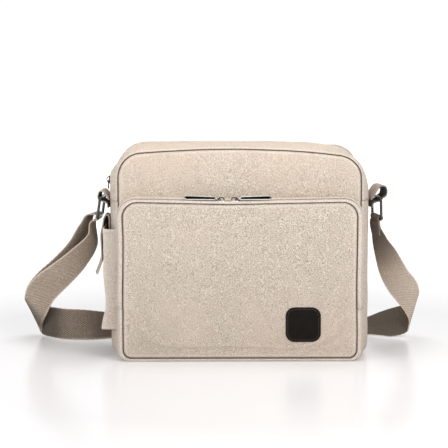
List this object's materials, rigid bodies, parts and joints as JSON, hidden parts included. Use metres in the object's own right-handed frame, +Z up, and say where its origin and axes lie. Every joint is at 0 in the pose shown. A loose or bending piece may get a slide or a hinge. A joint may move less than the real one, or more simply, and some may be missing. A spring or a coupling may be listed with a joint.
{
  "type": "messenger bag",
  "caption": "Canvas messenger bag with a zipped main compartment, a zipped front pocket, an open side pocket and a webbing shoulder strap on metal rings.",
  "frame": {"origin": "middle of the flat base of the main compartment, on the surface that the bag stands on", "axes": "+Z up; the front pocket faces -Y; +X is to the right when the front pocket is looked at"},
  "size_m": [0.5198, 0.2129, 0.2655],
  "materials": {
    "canvas": "washed cotton canvas, matt",
    "zip_tape": "woven zip tape with nylon coil",
    "zip_stop": "dark nickel",
    "lining": "plain polyester lining",
    "foam": "soft foam",
    "board": "stiff sheet",
    "leather": "near-black brown, fine grain",
    "hardware": "dark nickel, polished edges",
    "webbing": "twill cotton webbing",
    "grip_tape": "hook and loop tape"
  },
  "bodies": {
    "bag": {"front_panel": "canvas", "back_panel": "canvas", "body_gusset": "canvas", "zip_gusset_front": "canvas", "zip_gusset_rear": "canvas", "main_zip_half_front": "zip_tape", "main_zip_half_rear": "zip_tape", "main_zip_stops": "zip_stop", "lining": "lining", "back_foam": "foam", "divider": "lining", "base_board": "board", "pocket_panel": "canvas", "pocket_welt": "canvas", "pocket_rear_strip": "canvas", "pocket_gusset": "canvas", "pocket_zip_half_front": "zip_tape", "pocket_zip_half_rear": "zip_tape", "pocket_zip_stops": "zip_stop", "pocket_lining": "lining", "leather_patch": "leather", "strap_tab_left": "webbing", "strap_tab_right": "webbing", "strap_main": "webbing", "strap_return": "webbing", "side_pocket": "canvas", "side_tab_foot": "canvas", "side_tab_loops": "grip_tape"},
    "pocket_slider_left": {"pocket_slider_left": "hardware"},
    "pocket_pull_left": {"pocket_pull_left": "hardware"},
    "pocket_slider_right": {"pocket_slider_right": "hardware"},
    "pocket_pull_right": {"pocket_pull_right": "hardware"},
    "main_slider": {"main_slider": "hardware"},
    "main_pull": {"main_pull": "hardware"},
    "ring_left": {"ring_left": "hardware", "strap_turn_left": "webbing"},
    "ring_right": {"ring_right": "hardware", "strap_end_right": "webbing"},
    "side_tab": {"side_tab": "canvas", "side_tab_hooks": "grip_tape"},
    "strap_buckle": {"strap_buckle": "hardware", "strap_return_end": "webbing"}
  },
  "joints": [
    {"name": "pocket_slider_left_slide", "type": "slide", "parent": "bag", "child": "pocket_slider_left", "axis": [-0.9997, 0, 0.0243], "range_m": [0, 0.088]},
    {"name": "pocket_pull_left_hinge", "type": "hinge", "parent": "pocket_slider_left", "child": "pocket_pull_left", "pos_m": [-0.02424, -0.0634, 0.19987], "axis": [0, 0.9389, 0.3443], "range_deg": [0, 100]},
    {"name": "pocket_slider_right_slide", "type": "slide", "parent": "bag", "child": "pocket_slider_right", "axis": [0.9998, 0, 0.0191], "range_m": [0, 0.108]},
    {"name": "pocket_pull_right_hinge", "type": "hinge", "parent": "pocket_slider_right", "child": "pocket_pull_right", "pos_m": [-0.00495, -0.0634, 0.19983], "axis": [0, -0.9389, -0.3443], "range_deg": [0, 100]},
    {"name": "main_slider_slide", "type": "slide", "parent": "bag", "child": "main_slider", "axis": [0, 0, 1], "range_m": [-0.003, 0.003]},
    {"name": "main_pull_hinge", "type": "hinge", "parent": "main_slider", "child": "main_pull", "pos_m": [-0.1646, 0, 0.2175], "axis": [0, 1, 0], "range_deg": [0, 110]},
    {"name": "ring_left_swing", "type": "hinge", "parent": "bag", "child": "ring_left", "pos_m": [-0.1722, 0, 0.198], "axis": [0.0698, 0.9976, 0], "range_deg": [0, 10]},
    {"name": "ring_right_swing", "type": "hinge", "parent": "bag", "child": "ring_right", "pos_m": [0.1727, 0, 0.197], "axis": [0.1564, -0.9877, 0], "range_deg": [-6, 12]},
    {"name": "side_tab_lift", "type": "hinge", "parent": "bag", "child": "side_tab", "pos_m": [-0.174, 0, 0.152], "axis": [0, 1, 0], "range_deg": [0, 25]},
    {"name": "strap_buckle_slide", "type": "slide", "parent": "bag", "child": "strap_buckle", "axis": [1, 0, 0], "range_m": [0, 0.06]}
  ]
}
